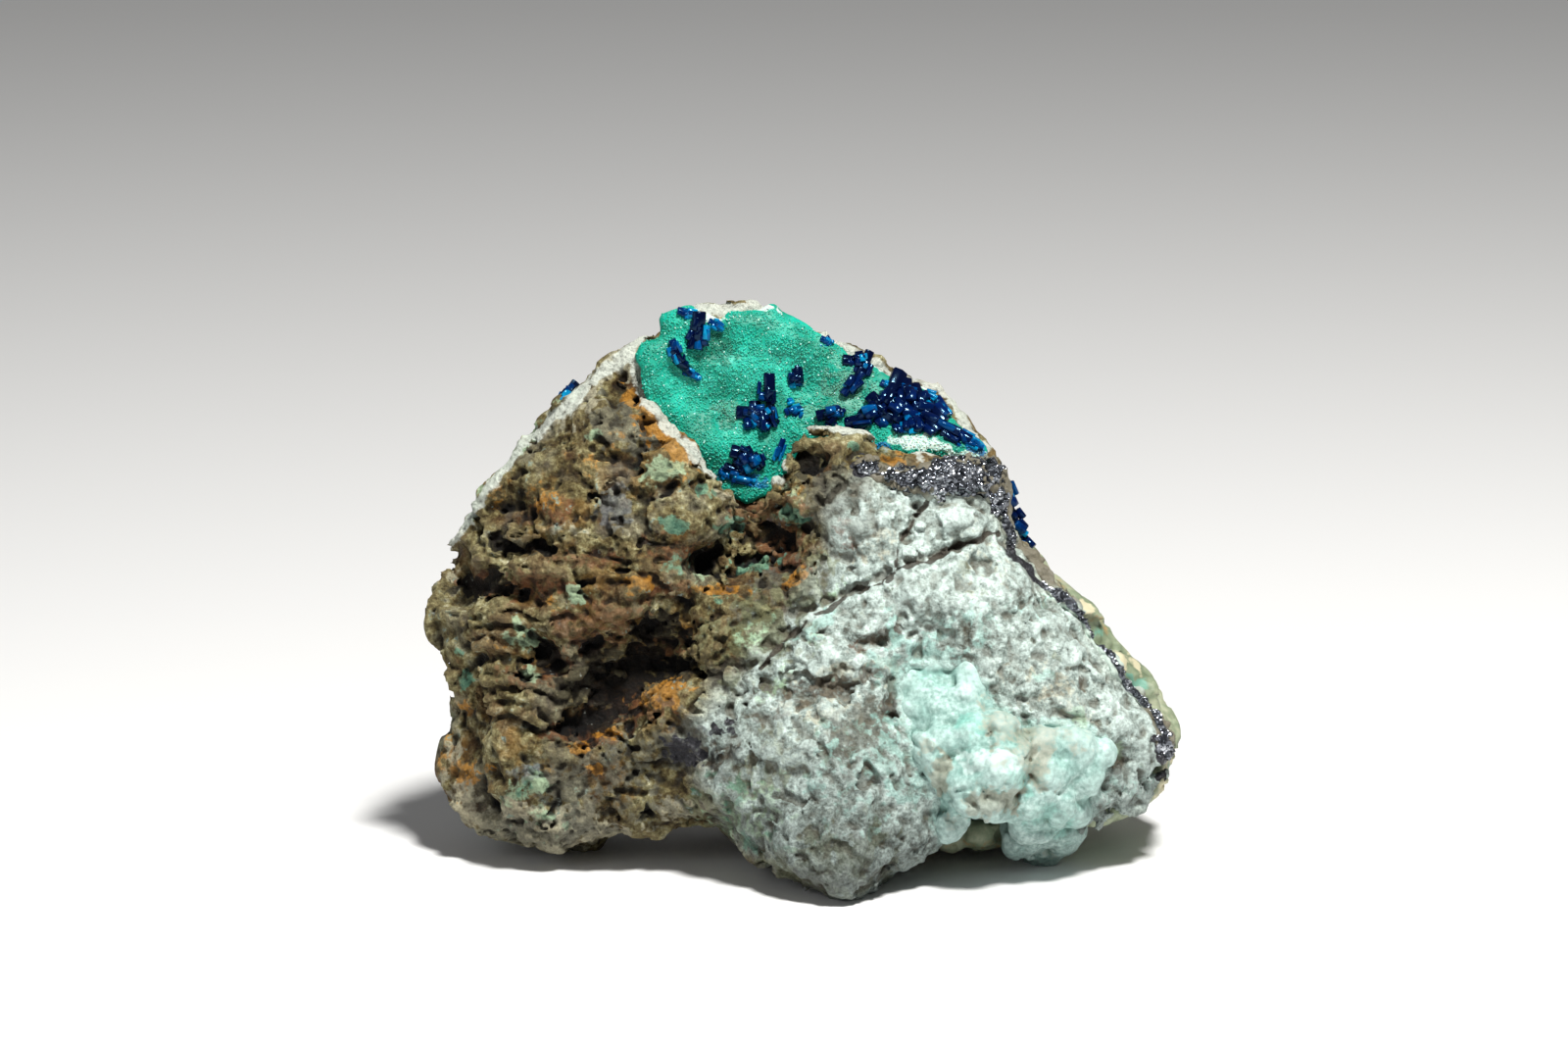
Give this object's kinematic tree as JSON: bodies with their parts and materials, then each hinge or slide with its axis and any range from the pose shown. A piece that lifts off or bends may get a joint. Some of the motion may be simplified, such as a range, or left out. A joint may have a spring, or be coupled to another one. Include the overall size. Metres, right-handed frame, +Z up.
{
  "type": "copper mineral specimen",
  "caption": "Rugged rock specimen that stands on edge, with an open pocket lined with green druse and dark blue crystals, pale knobbly crust and a grey metallic seam.",
  "frame": {"origin": "on the floor below the middle of the specimen's bounding box", "axes": "+Z up, +X to the right across the broad front face, -Y towards the side with the pocket"},
  "size_m": [0.0646, 0.0295, 0.0476],
  "materials": {
    "rock": "rough, iron-stained brown on the left and chalky white on the right",
    "druse": "sugary crust of tiny glinting crystals",
    "pale_crust": "smooth and waxy, pale turquoise",
    "back_crust": "waxy, cream and green",
    "galena": "metallic grey crystal faces",
    "blue_crystal": "glassy crystal faces"
  },
  "bodies": {
    "root": {"matrix_rock": "rock", "green_druse": "druse", "pale_lumps": "pale_crust", "back_crust": "back_crust", "galena_seam": "galena", "blue_crystals_centre": "blue_crystal", "blue_crystals_curved": "blue_crystal", "blue_crystals_diagonal": "blue_crystal", "blue_crystals_left_rim": "blue_crystal", "blue_crystals_lower": "blue_crystal", "blue_crystals_notch": "blue_crystal", "blue_crystals_right_rim": "blue_crystal", "blue_crystals_shelf": "blue_crystal", "blue_crystals_single": "blue_crystal", "blue_crystals_small": "blue_crystal", "blue_crystals_upper_left": "blue_crystal"}
  },
  "joints": []
}
